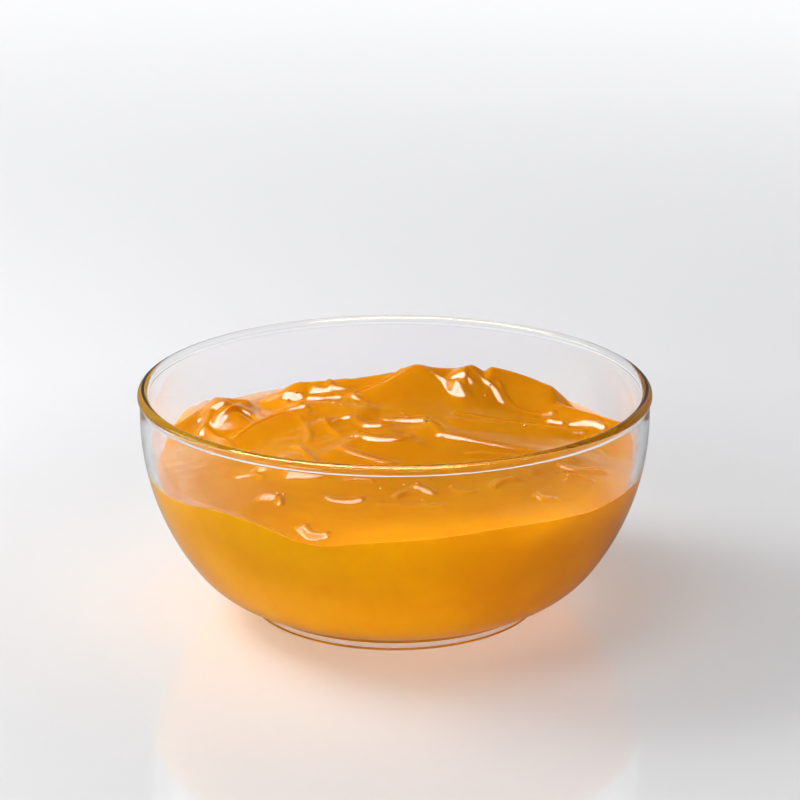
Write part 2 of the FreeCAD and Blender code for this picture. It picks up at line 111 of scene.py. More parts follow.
# The gel, in the open and where it wets the glass: colour, share of light that goes in, how deep.
OPEN_GEL = ((0.70, 0.25, 0.001), 0.65, 0.005)
WETTED_GEL = ((0.76, 0.35, 0.001), 0.3, 0.003)
OPEN_GEL_IOR = 1.33
OPEN_GEL_GLOSS = 0.5
WETTED_GEL_IOR = 1.02
GEL_SPREAD = (1.0, 0.42, 0.05)
GEL_SHADOW = (0.66, 0.60, 0.55, 1)
# Clouds in the gel: noise scale and detail, the noise values between which the tone changes, the
# share of the colour at each of them, and the least and most roughness.
CLOUD_SCALE = 55.0
CLOUD_DETAIL = 3.0
CLOUD_EDGES = (0.35, 0.65)
CLOUD_SHARES = (0.95, 1.04)
GEL_ROUGHNESS = (0.06, 0.18)
# Fine unevenness of the open skin.
SKIN_SCALE = 260.0
SKIN_DETAIL = 2.0
SKIN_STRENGTH = 0.40
SKIN_DEPTH = 0.0003
# Painted light and shade on the gel behind the glass: brighter towards the foot, and more red and
# darker towards the right, away from the lamp at the left.
PAINTED_LIGHT_BELOW = 0.34
PAINTED_SHADE_RIGHT = (1.0, 0.74, 0.6, 1)

# The glass, as in the CAD model.
RIM_RADIUS = 70.0
BOWL_HEIGHT = 62.0
WALL = 2.4
BEAD_PROUD = 0.6
LIP_DEPTH = 8.0
SIDE_RADIUS = 67.0
KNUCKLE_RADIUS = 28.0
BELLY_LIFT = 2.9
FOOT_RADIUS = 40.0
FOOT_WIDTH = 3.4
FOOT_ROUND = 1.0
FOOT_BLEND = 0.5
RECESS_DEPTH = 2.0
BEAD_BLEND = 0.4
BEAD_RADIUS = (WALL + BEAD_PROUD) / 2
OUTSIDE = RIM_RADIUS - BEAD_PROUD
INSIDE = OUTSIDE - WALL
GLASS_TURNS = 256

# The side is one long arc, and a tighter one, the knuckle, meets it below. Centres are
# (radius, height).
SIDE_CENTRE = (OUTSIDE - SIDE_RADIUS, BOWL_HEIGHT - LIP_DEPTH)
KNUCKLE_HEIGHT = BELLY_LIFT + KNUCKLE_RADIUS
ARCS_APART = SIDE_RADIUS - KNUCKLE_RADIUS
ARCS_DROP = SIDE_CENTRE[1] - KNUCKLE_HEIGHT
KNUCKLE_CENTRE = (SIDE_CENTRE[0] + math.sqrt(ARCS_APART**2 - ARCS_DROP**2), KNUCKLE_HEIGHT)
JOIN_ANGLE = -math.asin(ARCS_DROP / ARCS_APART)
GLASS_FLOOR = KNUCKLE_HEIGHT - KNUCKLE_RADIUS + WALL

# The filling. Places on its top are shares of INSIDE (across, back), rises shares of HEAP_RISE. It
# reaches into the wall by INTO_GLASS, so that no air gap shows.
FILL_LEVEL = 40.6
HEAP_RISE = 17.0
INTO_GLASS = 0.35
WALL_WAVE = 2.9
WALL_WAVE_POWER = 4
TOP_STEPS = 280
SIDE_RINGS = 14
EDGE_PASSES = 12
SHARP_ANGLE = 62

# Folds: start and end (across, back, rise), bow, slopes left, right and beyond the ends.
FOLDS = [
    ((-0.93, 0.21, 0.28), (-0.75, 0.36, 0.58), 0.00, 1.00, 0.55, 0.90),
    ((-0.75, 0.36, 0.60), (-0.63, 0.36, 0.57), 0.00, 1.00, 0.50, 1.00),
    ((-0.73, 0.33, 0.60), (-0.55, 0.12, 0.39), -0.02, 0.60, 0.60, 0.60),
    ((-0.54, 0.42, 0.46), (-0.40, 0.45, 0.73), 0.00, 0.90, 0.50, 0.70),
    ((-0.41, 0.45, 0.73), (-0.21, 0.45, 0.80), 0.00, 0.90, 0.55, 0.60),
    ((-0.21, 0.45, 0.78), (-0.01, 0.48, 0.88), 0.00, 0.90, 0.40, 0.50),
    ((-0.17, 0.27, 0.75), (0.09, 0.45, 1.05), -0.02, 0.80, 0.45, 0.50),
    ((0.07, 0.45, 1.03), (0.22, 0.48, 0.95), 0.00, 1.00, 0.50, 0.60),
    ((0.12, 0.42, 1.00), (0.25, 0.36, 0.80), -0.02, 0.50, 0.60, 0.60),
    ((0.26, 0.48, 0.95), (0.32, 0.45, 1.05), 0.00, 1.00, 0.50, 0.70),
    ((0.30, 0.42, 1.06), (0.42, 0.41, 0.66), 0.01, 0.70, 0.60, 0.70),
    ((0.41, 0.45, 1.01), (0.65, 0.40, 0.76), 0.02, 1.10, 0.60, 1.00),
    ((0.63, 0.40, 0.77), (0.75, 0.33, 0.46), 0.02, 1.20, 0.70, 0.90),
    ((0.69, 0.30, 0.56), (0.92, 0.12, 0.48), 0.00, 0.90, 0.50, 0.60),
    ((-0.64, 0.01, 0.37), (-0.39, 0.18, 0.59), 0.03, 0.55, 0.25, 0.50),
    ((-0.37, 0.27, 0.62), (-0.12, 0.13, 0.72), 0.03, 0.35, 0.35, 0.50),
    ((-0.35, 0.43, 0.63), (-0.21, 0.35, 0.73), 0.01, 0.40, 0.50, 0.60),
    ((-0.29, 0.05, 0.56), (-0.04, -0.08, 0.62), 0.03, 0.30, 0.40, 0.40),
    ((-0.15, -0.16, 0.54), (0.07, -0.20, 0.56), -0.02, 0.25, 0.40, 0.40),
    ((-0.22, -0.23, 0.48), (-0.02, -0.41, 0.43), -0.02, 0.25, 0.30, 0.40),
    ((-0.39, -0.24, 0.40), (-0.29, -0.39, 0.37), -0.02, 0.30, 0.30, 0.40),
    ((0.26, 0.05, 0.63), (0.85, 0.14, 0.29), -0.03, 0.22, 0.50, 0.40),
    ((0.12, -0.07, 0.64), (0.63, -0.18, 0.35), -0.04, 0.20, 0.50, 0.40),
]
FOLD_ROUND = 1.0
FOLD_BLEND = 0.35
# Lips, the thin edges of smaller folds: start and end (across, back), how far each end stands
# over the folds, bow, slopes left and right of the run.
LIPS = [
    ((-0.79, 0.18), (-0.76, 0.30), 1.0, 0.8, 0.00, 0.90, 0.40),
    ((-0.79, 0.18), (-0.66, -0.08), 1.1, 0.8, 0.00, 0.30, 0.90),
    ((-0.81, 0.11), (-0.70, -0.09), 0.8, 0.5, 0.00, 0.30, 0.90),
    ((-0.76, 0.28), (-0.70, 0.30), 0.9, 0.8, 0.00, 0.30, 0.90),
    ((-0.72, 0.21), (-0.57, 0.16), 1.5, 1.0, 0.08, 0.20, 0.90),
    ((-0.64, 0.02), (-0.37, 0.22), 0.5, 1.0, 0.04, 0.50, 0.85),
    ((-0.46, 0.34), (-0.36, 0.19), 0.8, 0.6, 0.00, 0.40, 0.85),
    ((-0.52, 0.42), (-0.40, 0.37), 0.9, 0.7, 0.00, 0.60, 0.90),
    ((-0.36, 0.32), (-0.12, 0.19), 1.3, 0.4, 0.04, 0.25, 0.95),
    ((-0.40, 0.13), (-0.35, -0.11), 0.4, 0.7, 0.02, 0.40, 0.60),
    ((-0.40, -0.15), (-0.32, -0.35), 0.8, 0.6, 0.00, 0.40, 0.90),
    ((-0.28, 0.47), (-0.27, 0.40), 0.3, 1.0, 0.00, 0.80, 0.60),
    ((-0.27, 0.40), (-0.18, 0.34), 1.1, 0.6, 0.00, 0.60, 0.90),
    ((-0.34, 0.40), (-0.27, 0.38), 0.8, 0.7, 0.00, 0.30, 0.90),
    ((-0.17, 0.34), (0.03, 0.45), 1.0, 0.3, 0.00, 0.90, 0.90),
    ((0.12, 0.43), (0.26, 0.32), 0.3, 1.4, 0.00, 0.95, 0.95),
    ((-0.29, 0.06), (-0.23, -0.08), 1.2, 0.6, -0.01, 0.35, 0.90),
    ((-0.23, 0.05), (-0.16, 0.03), 0.8, 0.8, 0.02, 0.30, 0.90),
    ((-0.16, 0.03), (-0.03, -0.05), 0.8, 0.7, -0.03, 0.30, 0.90),
    ((-0.25, 0.03), (-0.21, -0.05), 0.6, 0.4, -0.02, 0.30, 0.80),
    ((-0.05, 0.03), (0.12, 0.01), 0.5, 1.0, -0.01, 0.25, 0.85),
    ((0.12, 0.02), (0.18, -0.13), 1.0, 0.7, 0.00, 0.50, 0.80),
    ((0.18, -0.13), (0.55, -0.20), 0.7, 0.4, -0.01, 0.30, 0.85),
    ((-0.15, -0.13), (0.06, -0.17), 1.1, 0.9, -0.04, 0.20, 0.95),
    ((-0.22, -0.24), (-0.02, -0.40), 0.8, 0.7, -0.01, 0.30, 0.95),
    ((0.25, 0.38), (0.31, 0.36), 0.5, 0.5, 0.01, 0.90, 0.90),
    ((0.31, 0.43), (0.42, 0.34), 0.3, 0.7, 0.00, 0.95, 0.95),
    ((0.44, 0.38), (0.66, 0.25), 0.4, 0.6, -0.06, 0.60, 0.60),
    ((0.25, 0.11), (0.77, 0.09), 0.3, 0.8, -0.03, 0.25, 0.85),
    ((0.64, 0.18), (0.69, 0.16), 1.2, 1.2, 0.00, 0.40, 0.80),
    ((0.73, 0.15), (0.86, 0.10), 0.7, 0.6, 0.02, 0.30, 0.80),
    ((0.30, -0.27), (0.48, -0.24), 0.6, 0.7, 0.00, 0.30, 0.85),
    ((-0.62, -0.15), (-0.59, -0.16), 1.4, 1.3, 0.00, 0.50, 0.80),
    ((-0.50, -0.62), (-0.44, -0.67), 1.5, 1.0, 0.02, 0.40, 0.75),
    ((-0.34, -0.84), (-0.26, -0.88), 1.3, 0.9, -0.02, 0.40, 0.75),
    ((-0.62, -0.37), (-0.52, -0.43), 0.6, 0.4, 0.02, 0.30, 0.80),
    ((-0.53, -0.34), (-0.40, -0.42), 1.2, 2.1, 0.02, 0.30, 0.70),
    ((-0.40, -0.42), (-0.26, -0.45), 2.1, 0.8, -0.02, 0.30, 0.76),
    ((-0.27, -0.62), (-0.13, -0.66), 0.5, 0.7, -0.02, 0.25, 0.85),
    ((-0.19, -0.50), (-0.09, -0.53), 0.4, 0.5, 0.02, 0.25, 0.80),
    ((-0.06, -0.70), (0.18, -0.73), 0.3, 0.5, -0.02, 0.25, 0.80),
    ((0.01, -0.66), (0.09, -0.62), 0.8, 0.5, 0.02, 0.25, 0.90),
    ((0.08, -0.58), (0.14, -0.62), 1.0, 0.8, 0.00, 0.40, 0.90),
    ((0.22, -0.58), (0.31, -0.60), 0.5, 0.4, -0.02, 0.25, 0.85),
    ((0.39, -0.55), (0.49, -0.46), 0.7, 0.8, 0.02, 0.25, 0.90),
    ((0.44, -0.36), (0.53, -0.40), 0.5, 0.4, 0.02, 0.25, 0.80),
    ((0.55, -0.59), (0.61, -0.60), 0.9, 0.7, -0.02, 0.25, 0.90),
    ((0.66, -0.29), (0.82, -0.28), 0.7, 0.9, -0.02, 0.25, 0.85),
    ((0.68, -0.36), (0.76, -0.38), 0.6, 0.5, 0.02, 0.25, 0.85),
]
# How round a lip's edge is and how softly it joins, the slope past its ends, and how much steeper
# than written its right side is. It is laid over the folds at LIP_POINTS points.
LIP_ROUND = 0.20
LIP_BLEND = 0.12
LIP_END = 0.7
LIP_STEEPER = 1.18
LIP_POINTS = 13
RIPPLE = 0.13
# The smooth mound below the folds: its middle, how far it reaches each way, its height and shape.
MOUND_MIDDLE = (0.06, 0.36)
MOUND_LEFT = 1.08
MOUND_RIGHT = 1.02
MOUND_FRONT = 1.38
MOUND_BACK = 0.69
MOUND_SHARE = 0.80
MOUND_POWER = 0.85
# The edge climbs and sinks along the wall: azimuth, half-width in degrees, share of WALL_WAVE.
EDGE_SWELLS = [
    (-130, 14, 1.00), (-107, 9, -0.75), (-63, 18, 0.62), (-20, 14, 0.20),
    (30, 16, -0.30), (75, 20, -0.40), (160, 20, -0.20),
]

# Bubbles at the surface: middle of each group (across, back), its spread in mm, how many.
BUBBLE_GROUPS = [
    (0.03, 0.06, 1.2, 5), (0.12, -0.02, 1.0, 4), (0.40, 0.33, 1.6, 2), (-0.14, -0.12, 1.2, 2),
    (-0.44, 0.38, 1.8, 3), (-0.60, -0.12, 1.5, 2), (0.52, 0.05, 2.5, 3), (-0.20, 0.22, 2.2, 3),
    (-0.47, -0.62, 2.0, 3), (0.05, -0.60, 4.0, 4), (0.66, -0.36, 3.0, 3),
]
BUBBLE_SEED = 11
# The least and most radius, and how far the middle lies under the surface as a share of it.
BUBBLE_RADIUS = (0.30, 0.75)
BUBBLE_SUNK = 0.35
BUBBLE_RINGS = 10
BUBBLE_TURNS = 16


def soft_max(first, second, blend):
    """The higher of two heights, rounded where they cross."""
    return np.maximum(first, second) + blend * np.log1p(np.exp(-abs(first - second) / blend))


def along_and_across(x, y, start, run, bow):
    """Where points lie beside a bowed run: share along it, that share kept within 0 to 1, and mm
    to its left."""
    length = math.hypot(run[0], run[1])
    along = ((x - start[0]) * run[0] + (y - start[1]) * run[1]) / length**2
    within = np.clip(along, 0, 1)
    across = ((y - start[1]) * run[0] - (x - start[0]) * run[1]) / length
    across = across - bow * INSIDE * 4 * within * (1 - within)
    return along, within, across


def fold_height(x, y, fold):
    """One fold: a straight or bowed crest with a rounded edge and a slope on each side."""
    first, last, bow, left_slope, right_slope, end_slope = fold
    start = np.array([first[0] * INSIDE, first[1] * INSIDE, first[2] * HEAP_RISE])
    run = np.array([last[0] * INSIDE, last[1] * INSIDE, last[2] * HEAP_RISE]) - start
    along, within, across = along_and_across(x, y, start, run, bow)
    slope = np.where(across > 0, left_slope, right_slope)
    beyond = end_slope * (along - within) * math.hypot(run[0], run[1])
    fallen = np.sqrt((slope * across) ** 2 + beyond**2 + FOLD_ROUND**2) - FOLD_ROUND
    return FILL_LEVEL + start[2] + run[2] * within - fallen


def mound_height(x, y):
    """The broad heap that the folds lie on, falling to FILL_LEVEL all round."""
    across = x / INSIDE - MOUND_MIDDLE[0]
    back = y / INSIDE - MOUND_MIDDLE[1]
    across = across / np.where(across < 0, MOUND_LEFT, MOUND_RIGHT)
    back = back / np.where(back < 0, MOUND_FRONT, MOUND_BACK)
    left = np.maximum(1 - np.hypot(across, back), 0)
    return FILL_LEVEL + MOUND_SHARE * HEAP_RISE * left**MOUND_POWER


def fold_heights(x, y):
    """The mound with all folds blended into it."""
    height = mound_height(x, y)
    for fold in FOLDS:
        height = soft_max(height, fold_height(x, y, fold), FOLD_BLEND)
    return height


def lip_height(x, y, lip):
    """A thin edge that follows the folds below it, at its own height over them."""
    first, last, first_lift, last_lift, bow, left_slope, right_slope = lip
    start = np.array(first) * INSIDE
    run = np.array(last) * INSIDE - start
    length = math.hypot(run[0], run[1])
    shares = np.linspace(0, 1, LIP_POINTS)
    aside = bow * INSIDE * 4 * shares * (1 - shares)
    crest = fold_heights(start[0] + run[0] * shares - run[1] / length * aside,
                         start[1] + run[1] * shares + run[0] / length * aside)
    crest = crest + first_lift + (last_lift - first_lift) * shares
    along, within, across = along_and_across(x, y, start, run, bow)
    slope = np.where(across > 0, left_slope, right_slope * LIP_STEEPER)
    beyond = LIP_END * (along - within) * length
    fallen = np.sqrt((slope * across) ** 2 + beyond**2 + LIP_ROUND**2) - LIP_ROUND
    return np.interp(within, shares, crest) - fallen


def ripples(x, y):
    """Shallow uneven waves of the open surface, with creases where they meet. What x and y are
    divided by sets the waves' lengths, in mm, with no common measure, so that none repeats."""
    wander = 1.3 * np.sin(x / 8.1 + 0.7) + 1.1 * np.sin(y / 6.7 - x / 19.0 + 2.1)
    broad = np.sin(x / 5.3 + y / 7.9 + wander) + np.sin(x / 7.7 - y / 4.3 - 1.4 * wander + 1.0)
    fine = abs(np.sin(x / 4.9 - y / 3.1 + 1.7 * wander)) - abs(np.sin(x / 6.1 + y / 2.3 - wander))
    return 0.35 * broad + 0.30 * fine


def heap_height(x, y):
    """Height of the filling's top: folds, ripples, lips, and the wave of its edge at the wall."""
    height = fold_heights(x, y) + RIPPLE * ripples(x, y)
    for lip in LIPS:
        height = soft_max(height, lip_height(x, y, lip), LIP_BLEND)
    angle = np.degrees(np.arctan2(y, x))
    climb = 0
    for azimuth, spread, share in EDGE_SWELLS:
        apart = (angle - azimuth + 180) % 360 - 180
        climb = climb + share * np.exp(-(apart / spread) ** 2)
    return height + WALL_WAVE * climb * (np.hypot(x, y) / INSIDE) ** WALL_WAVE_POWER


def wall_radius(z, inset):
    """Radius of the bowl's side arcs at a height, moved in from the outside by the inset."""
    side = SIDE_CENTRE[0] + np.sqrt(
        np.maximum((SIDE_RADIUS - inset) ** 2 - (SIDE_CENTRE[1] - z) ** 2, 0))
    knuckle = KNUCKLE_CENTRE[0] + np.sqrt(
        np.maximum((KNUCKLE_RADIUS - inset) ** 2 - (KNUCKLE_CENTRE[1] - z) ** 2, 0))
    join = KNUCKLE_CENTRE[1] + (KNUCKLE_RADIUS - inset) * math.sin(JOIN_ANGLE)
    radius = np.where(z > join, side, knuckle)
    return np.where(z > SIDE_CENTRE[1], OUTSIDE - inset, radius)


def make_mesh(name, points, faces):
    """A smooth-shaded object from points in millimetres."""
    mesh = bpy.data.meshes.new(name)
    mesh.from_pydata([tuple(p) for p in np.asarray(points) * MM], [], faces)
    mesh.validate()
    mesh.update()
    mesh.polygons.foreach_set("use_smooth", [True] * len(mesh.polygons))
    piece = bpy.data.objects.new(name, mesh)
    bpy.context.collection.objects.link(piece)
    return piece


def arc_points(centre, radius, first, last, count):
    """Points (radius, height) along an arc, from one angle to another."""
    angles = np.linspace(first, last, count)
    return [(centre[0] + radius * math.cos(a), centre[1] + radius * math.sin(a)) for a in angles]


def bowl_section():
    """Closed outline of the glass, from the floor's middle out, over the rim and back under. The
    last number of each arc is how many points it gets."""
    bead = (RIM_RADIUS - BEAD_RADIUS, BOWL_HEIGHT - BEAD_RADIUS)
    under = -math.acos((OUTSIDE - bead[0]) / BEAD_RADIUS)
    bead_foot = bead[1] + BEAD_RADIUS * math.sin(under) - BEAD_BLEND
    foot_angle = -math.acos((FOOT_RADIUS - KNUCKLE_CENTRE[0] + FOOT_BLEND) / KNUCKLE_RADIUS)
    foot_top = KNUCKLE_CENTRE[1] + KNUCKLE_RADIUS * math.sin(foot_angle)
    foot_in = FOOT_RADIUS - FOOT_WIDTH
    blend_centre = (foot_in - FOOT_BLEND, RECESS_DEPTH - FOOT_BLEND)
    quarter = math.pi / 2
    out = [(0, GLASS_FLOOR)]
    out += arc_points(KNUCKLE_CENTRE, KNUCKLE_RADIUS - WALL, -quarter, JOIN_ANGLE, 28)
    out += arc_points(SIDE_CENTRE, SIDE_RADIUS - WALL, JOIN_ANGLE, 0, 40)[1:]
    out += arc_points(bead, BEAD_RADIUS, math.pi, under, 30)
    out += [(OUTSIDE, bead_foot)]
    out += arc_points(SIDE_CENTRE, SIDE_RADIUS, 0, JOIN_ANGLE, 40)
    out += arc_points(KNUCKLE_CENTRE, KNUCKLE_RADIUS, JOIN_ANGLE, foot_angle, 24)[1:]
    out += [(FOOT_RADIUS, foot_top - FOOT_BLEND)]
    out += arc_points((FOOT_RADIUS - FOOT_ROUND, FOOT_ROUND), FOOT_ROUND, 0, -quarter, 8)
    out += arc_points((foot_in + FOOT_ROUND, FOOT_ROUND), FOOT_ROUND, -quarter, -math.pi, 8)
    out += arc_points(blend_centre, FOOT_BLEND, 0, quarter, 6)
    out += [(foot_in * 0.5, RECESS_DEPTH), (0, RECESS_DEPTH)]
    return out


def lathe(name, section, turns):
    """A closed solid turned from a section whose first and last points lie on the axis."""
    angles = np.arange(turns) * 2 * math.pi / turns
    points = [(0, 0, section[0][1])]
    for radius, height in section[1:-1]:
        points += [(radius * math.cos(a), radius * math.sin(a), height) for a in angles]
    points.append((0, 0, section[-1][1]))
    rings = len(section) - 2
    faces = []
    for i in range(turns):
        j = (i + 1) % turns
        faces.append((0, 1 + i, 1 + j))
        for k in range(rings - 1):
            a = 1 + k * turns
            b = a + turns
            faces.append((a + i, b + i, b + j, a + j))
        last = 1 + (rings - 1) * turns
        faces.append((len(points) - 1, last + j, last + i))
    return make_mesh(name, points, faces)


def make_glass():
    piece = lathe("bowl_glass", bowl_section(), GLASS_TURNS)
    piece.data.materials.append(glass_material())
    return piece


def disc_grid(steps):
    """Even quads over the unit disc, from a square grid pressed into a circle."""
    line = np.linspace(-1, 1, steps + 1)
    a, b = np.meshgrid(line, line, indexing="ij")
    wide = abs(a) >= abs(b)
    radius = np.where(wide, a, b)
    with np.errstate(divide="ignore", invalid="ignore"):
        angle = np.where(wide, (math.pi / 4) * (b / a), math.pi / 2 - (math.pi / 4) * (a / b))
    angle = np.nan_to_num(angle)
    return radius * np.cos(angle), radius * np.sin(angle)


def edge_radius(angle):
    """How far out the heaped surface reaches before it is inside the glass by INTO_GLASS."""
    radius = np.full_like(angle, INSIDE)
    for _ in range(EDGE_PASSES):
        height = heap_height(radius * np.cos(angle), radius * np.sin(angle))
        radius = wall_radius(height, WALL) + INTO_GLASS
    return radius


def grid_edge(steps):
    """Numbers of the points round a square grid, in order."""
    n = steps + 1
    edge = [i * n for i in range(n)]
    edge += [steps * n + j for j in range(1, n)]
    edge += [i * n + steps for i in range(steps - 1, -1, -1)]
    edge += [j for j in range(steps - 1, 0, -1)]
    return edge


def heap_top():
    """Points and faces of the filling's open surface."""
    u, v = disc_grid(TOP_STEPS)
    reach = edge_radius(np.arctan2(v, u))
    x, y = u * reach, v * reach
    points = np.stack([x, y, heap_height(x, y)], -1).reshape(-1, 3).tolist()
    n = TOP_STEPS + 1
    corners = [i * n + j for i in range(TOP_STEPS) for j in range(TOP_STEPS)]
    return points, [(a, a + n, a + n + 1, a + 1) for a in corners]


def make_filling():
    """The gel: the heaped top, and rings of points down along the wall to the bowl's floor. Its
    first material is the open gel, its second the gel that wets the glass."""
    points, faces = heap_top()
    top_faces = len(faces)
    last = grid_edge(TOP_STEPS)
    rim = np.array([points[k] for k in last])
    angle = np.arctan2(rim[:, 1], rim[:, 0])
    floor = GLASS_FLOOR - INTO_GLASS
    for k in range(1, SIDE_RINGS + 1):
        height = rim[:, 2] + (floor - rim[:, 2]) * math.sin(k / SIDE_RINGS * math.pi / 2)
        if k == SIDE_RINGS:
            radius = np.full(len(rim), KNUCKLE_CENTRE[0])
        else:
            radius = wall_radius(height, WALL - INTO_GLASS)
        ring = range(len(points), len(points) + len(rim))
        points += [(r * math.cos(t), r * math.sin(t), h) for t, r, h in zip(angle, radius, height)]
        for i in range(len(rim)):
            j = (i + 1) % len(rim)
            faces.append((last[i], ring[i], ring[j], last[j]))
        last = ring
    middle = len(points)
    points.append((0, 0, floor))
    faces += [(last[i], middle, last[(i + 1) % len(rim)]) for i in range(len(rim))]
    piece = make_mesh("filling_gel", points, faces)
    piece.data.set_sharp_from_angle(angle=math.radians(SHARP_ANGLE))
    for polygon in piece.data.polygons:
        polygon.material_index = 0 if polygon.index < top_faces else 1
    return piece


def surface_normals(x, y, step=0.2):
    """Directions straight out of the heap, from its height a step to each side."""
    east = heap_height(x + step, y) - heap_height(x - step, y)
    north = heap_height(x, y + step) - heap_height(x, y - step)
    normals = np.stack([-east, -north, np.full_like(east, 2 * step)], -1)
    return normals / np.linalg.norm(normals, axis=1)[:, None]


def add_ball(points, faces, middle, radius):
    """Add the points and faces of one ball, in rings from its lowest point to its highest."""
    first = len(points)
    points.append(middle - [0, 0, radius])
    for ring in range(1, BUBBLE_RINGS):
        angle = math.pi * ring / BUBBLE_RINGS
        for turn in range(BUBBLE_TURNS):
            way = 2 * math.pi * turn / BUBBLE_TURNS
            out = [math.sin(angle) * math.cos(way), math.sin(angle) * math.sin(way), -math.cos(angle)]
            points.append(middle + radius * np.array(out))
    points.append(middle + [0, 0, radius])
    last = len(points) - 1
    top = last - BUBBLE_TURNS
    for i in range(BUBBLE_TURNS):
        j = (i + 1) % BUBBLE_TURNS
        faces.append((first, first + 1 + j, first + 1 + i))
        for ring in range(BUBBLE_RINGS - 2):
            a = first + 1 + ring * BUBBLE_TURNS
            b = a + BUBBLE_TURNS
            faces.append((a + i, a + j, b + j, b + i))
        faces.append((top + i, top + j, last))


def make_bubbles():
    """Air bubbles that reached the surface: small domes, in loose groups along the folds."""
    random = np.random.default_rng(BUBBLE_SEED)
    spots = np.concatenate([
        np.array([across, back]) * INSIDE + random.normal(0, spread, (count, 2))
        for across, back, spread, count in BUBBLE_GROUPS])
    x, y = spots.T
    radii = random.uniform(*BUBBLE_RADIUS, len(spots))
    middles = np.stack([x, y, heap_height(x, y)], -1)
    middles = middles - surface_normals(x, y) * (radii * BUBBLE_SUNK)[:, None]
    points, faces = [], []
    for middle, radius in zip(middles, radii):
        add_ball(points, faces, middle, radius)
    return make_mesh("filling_bubbles", points, faces)


class Graph:
    """The nodes of a material or of the world, with short ways to add and join them."""

    def __init__(self, tree):
        self.nodes = tree.nodes
        self.links = tree.links

    def add(self, kind, values=None):
        """A new node, with values for its sockets by name."""
        node = self.nodes.new("ShaderNode" + kind)
        for socket, value in (values or {}).items():
            node.inputs[socket].default_value = value
        return node

    def join(self, source, socket):
        self.links.new(source, socket)

    def maths(self, operation, *values):
        """A sum of numbers and outputs."""
        node = self.add("Math")
        node.operation = operation
        for socket, value in zip(node.inputs, values):
            if isinstance(value, (int, float)):
                socket.default_value = value
            else:
                self.join(value, socket)
        return node.outputs[0]

    def ranged(self, source, low, high):
        """0 to 1, smoothly, as the source goes from low to high."""
        part = self.add("MapRange", {"From Min": low, "From Max": high})
        part.interpolation_type = "SMOOTHSTEP"
        self.join(source, part.inputs["Value"])
        return part.outputs["Result"]

    def axes(self, source):
        """The X, Y and Z of a vector."""
        split = self.add("SeparateXYZ")
        self.join(source, split.inputs[0])
        return split.outputs

    def mixed(self, share, first, second):
        """One shader's output, changing to a second one's as the share goes to 1."""
        mix = self.add("MixShader")
        self.join(share, mix.inputs[0])
        self.join(first, mix.inputs[1])
        self.join(second, mix.inputs[2])
        return mix.outputs[0]

    def lets_lamps_through(self, shader, colour):
        """The shader, but clear and tinted for the light that casts its shadow."""
        clear = self.add("BsdfTransparent", {"Color": colour})
        path = self.add("LightPath")
        return self.mixed(path.outputs["Is Shadow Ray"], shader.outputs[0], clear.outputs[0])


def new_material(name):
    """An empty material, its graph and its output node."""
    material = bpy.data.materials.new(name)
    material.use_nodes = True
    material.node_tree.nodes.clear()
    graph = Graph(material.node_tree)
    return material, graph, graph.add("OutputMaterial")


def glass_material():
    """Clear glass, dark only along its edges."""
    material, graph, out = new_material("clear_glass")
    body = graph.add("VolumeAbsorption", {"Color": GLASS_ABSORBS, "Density": GLASS_DENSITY})
    glass = graph.add("BsdfPrincipled", {
        "Base Color": (1, 1, 1, 1), "Specular Tint": GLASS_TINT, "Roughness": 0.0,
        "IOR": GLASS_IOR, "Transmission Weight": 1.0})
    graph.join(graph.lets_lamps_through(glass, GLASS_SHADOW), out.inputs["Surface"])
    graph.join(body.outputs[0], out.inputs["Volume"])
    return material


def cloudy_gel(graph, colour, share_in, depth, ior, gloss):
    """The gel's shader, the output of its clouded colour, and where its textures lie."""
    gel = graph.add("BsdfPrincipled", {
        "IOR": ior, "Specular IOR Level": gloss, "Subsurface Weight": share_in,
        "Subsurface Radius": GEL_SPREAD, "Subsurface Scale": depth})
    place = graph.add("TexCoord").outputs["Object"]
    cloud = graph.add("TexNoise", {"Scale": CLOUD_SCALE, "Detail": CLOUD_DETAIL})
    graph.join(place, cloud.inputs["Vector"])
    tone = graph.add("ValToRGB")
    for element, edge, share in zip(tone.color_ramp.elements, CLOUD_EDGES, CLOUD_SHARES):
        element.position = edge
        element.color = (colour[0] * share, colour[1] * share**2, colour[2], 1)
    graph.join(cloud.outputs["Fac"], tone.inputs["Fac"])
    dull, duller = GEL_ROUGHNESS
    roughness = graph.add("MapRange", {"To Min": dull, "To Max": duller})
    graph.join(cloud.outputs["Fac"], roughness.inputs["Value"])
    graph.join(roughness.outputs["Result"], gel.inputs["Roughness"])
    return gel, tone.outputs["Color"], place


def open_gel_material():
    """Glossy amber gel with a fine uneven skin, where the filling meets the air."""
    material, graph, out = new_material("gel_open")
    gel, tone, place = cloudy_gel(graph, *OPEN_GEL, OPEN_GEL_IOR, OPEN_GEL_GLOSS)
    graph.join(tone, gel.inputs["Base Color"])
    skin = graph.add("TexNoise", {"Scale": SKIN_SCALE, "Detail": SKIN_DETAIL})
    graph.join(place, skin.inputs["Vector"])
    relief = graph.add("Bump", {"Strength": SKIN_STRENGTH, "Distance": SKIN_DEPTH})
    graph.join(skin.outputs["Fac"], relief.inputs["Height"])
    graph.join(relief.outputs["Normal"], gel.inputs["Normal"])
    graph.join(graph.lets_lamps_through(gel, GEL_SHADOW), out.inputs["Surface"])
    return material


